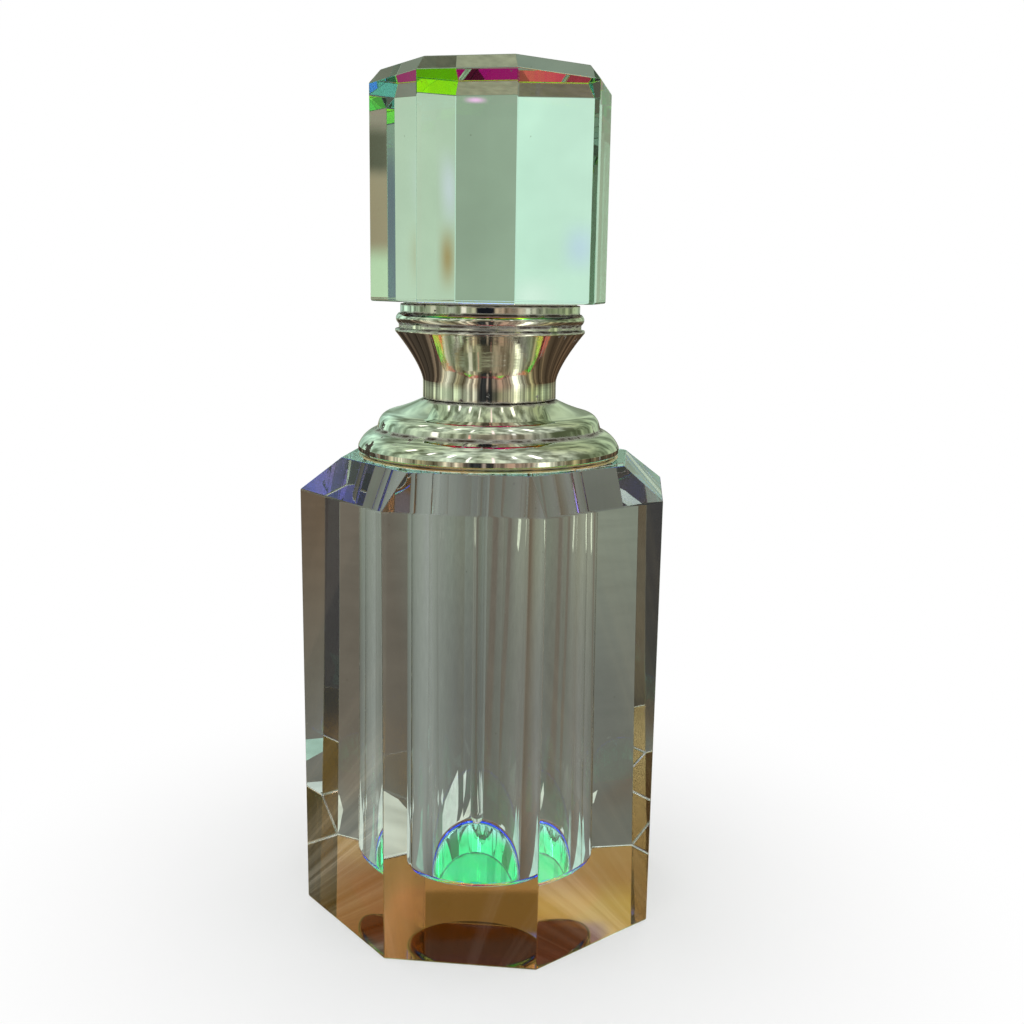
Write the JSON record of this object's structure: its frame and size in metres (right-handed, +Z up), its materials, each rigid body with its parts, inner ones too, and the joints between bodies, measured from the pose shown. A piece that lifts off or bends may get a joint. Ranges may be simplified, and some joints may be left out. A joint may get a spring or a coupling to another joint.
{
  "type": "cut crystal attar bottle",
  "caption": "Octagonal cut crystal perfume oil bottle with a round drilled reservoir, stepped chrome collar, and screw-on crystal stopper carrying a glass dip rod.",
  "frame": {"origin": "centre of the flat underside of the crystal body, on the surface that the bottle stands on", "axes": "+Z up along the bottle's axis, -Y out of the front facet of the body, +X to the right of that facet"},
  "size_m": [0.044, 0.044, 0.1037],
  "materials": {
    "body_crystal": "polished cut crystal, smoke grey, colour-shifting coating under the base",
    "stopper_crystal": "polished cut crystal, pale green, colour-shifting coating underneath",
    "rod_glass": "fire-polished",
    "bright_plate": "mirror-bright nickel and chrome plate",
    "neck_metal": "turned and plated, fine tool lines",
    "amber_adhesive": "cured, glossy, squeezed out along the edge",
    "clear_adhesive": "cured, clear",
    "soft_polymer": "soft translucent polyethylene",
    "liner_polymer": "moulded natural polypropylene",
    "seal_foam": "dense foam"
  },
  "bodies": {
    "bottle": {"crystal_body": "body_crystal", "collar_adhesive": "amber_adhesive", "neck_bush": "neck_metal", "collar_shell": "bright_plate", "orifice_insert": "soft_polymer"},
    "seal": {"seal_washer": "seal_foam"},
    "stopper": {"thread_liner": "liner_polymer", "ferrule_shell": "bright_plate", "beaded_cup": "bright_plate", "dip_rod": "rod_glass", "stopper_adhesive": "clear_adhesive", "crystal_stopper": "stopper_crystal"}
  },
  "joints": [
    {"name": "stopper_lift", "type": "slide", "parent": "bottle", "child": "seal", "axis": [0, 0, 1], "range_m": [0, 0.068]},
    {"name": "stopper_turn", "type": "hinge", "parent": "seal", "child": "stopper", "pos_m": [0, 0, 0.07], "axis": [0, 0, 1], "range_deg": [0, 6120]}
  ],
  "couplings": [
    {"joint": "stopper_lift", "follows": "stopper_turn", "m_per_rad": 0.00063661}
  ]
}
